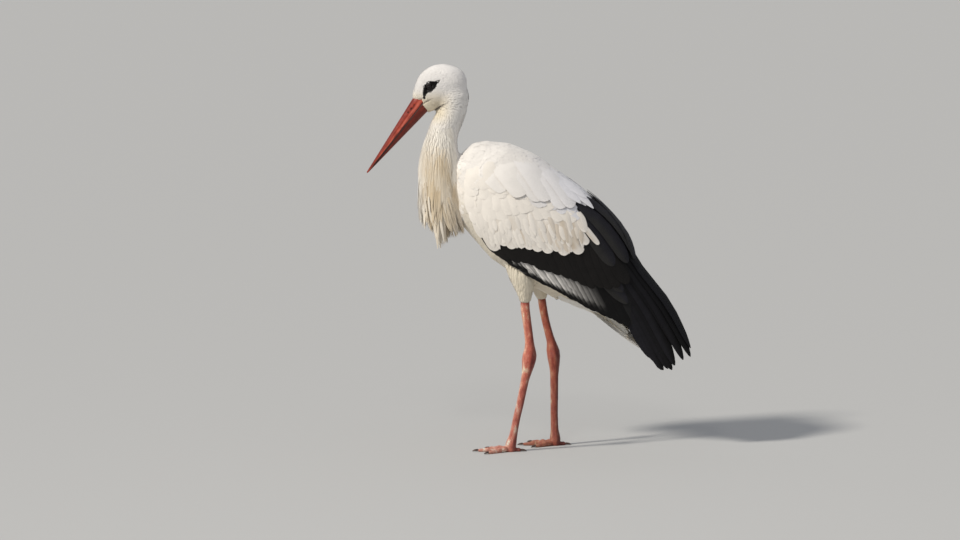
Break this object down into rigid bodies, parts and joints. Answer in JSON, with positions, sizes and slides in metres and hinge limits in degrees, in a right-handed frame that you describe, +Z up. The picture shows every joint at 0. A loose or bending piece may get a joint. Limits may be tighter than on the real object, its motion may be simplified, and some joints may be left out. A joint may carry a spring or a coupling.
{
  "type": "white stork",
  "caption": "Standing white stork with its wings folded and its bill lowered: a still, life-size model of the living bird.",
  "frame": {"origin": "on the floor, under the middle of the bird's length and width", "axes": "+Z up; the bird faces -X, and its left side is towards -Y"},
  "size_m": [0.6792, 0.194, 0.8133],
  "materials": {
    "plumage_white": "soft matt feathers, off-white",
    "plumage_tawny": "soft matt plumes, cream to tawny",
    "plumage_black": "silky feathers, black with a faint bluish gloss",
    "bill_horn": "satin horn, dull red",
    "leg_scales": "satin scaled skin, pinkish red",
    "claw_horn": "satin horn, dark brown",
    "eye": "wet and glossy, dark brown"
  },
  "bodies": {
    "root": {"head": "plumage_white", "neck_upper": "plumage_white", "neck_lower": "plumage_white", "trunk": "plumage_white", "tail": "plumage_white", "scapulars_left": "plumage_white", "scapulars_right": "plumage_white", "wing_coverts_left": "plumage_white", "wing_coverts_right": "plumage_white", "thigh_left": "plumage_white", "thigh_right": "plumage_white", "wing_tertials_left": "plumage_black", "wing_tertials_right": "plumage_black", "wing_secondaries_left": "plumage_black", "wing_secondaries_right": "plumage_black", "wing_primaries_left": "plumage_black", "wing_primaries_right": "plumage_black", "breast_plumes": "plumage_tawny", "bill_upper": "bill_horn", "bill_lower": "bill_horn", "eye_left": "eye", "shank_left": "leg_scales", "tarsus_left": "leg_scales", "toe_inner_left": "leg_scales", "claw_inner_left": "claw_horn", "toe_middle_left": "leg_scales", "claw_middle_left": "claw_horn", "toe_outer_left": "leg_scales", "claw_outer_left": "claw_horn", "toe_hind_left": "leg_scales", "claw_hind_left": "claw_horn", "eye_right": "eye", "shank_right": "leg_scales", "tarsus_right": "leg_scales", "toe_inner_right": "leg_scales", "claw_inner_right": "claw_horn", "toe_middle_right": "leg_scales", "claw_middle_right": "claw_horn", "toe_outer_right": "leg_scales", "claw_outer_right": "claw_horn", "toe_hind_right": "leg_scales", "claw_hind_right": "claw_horn"}
  },
  "joints": []
}
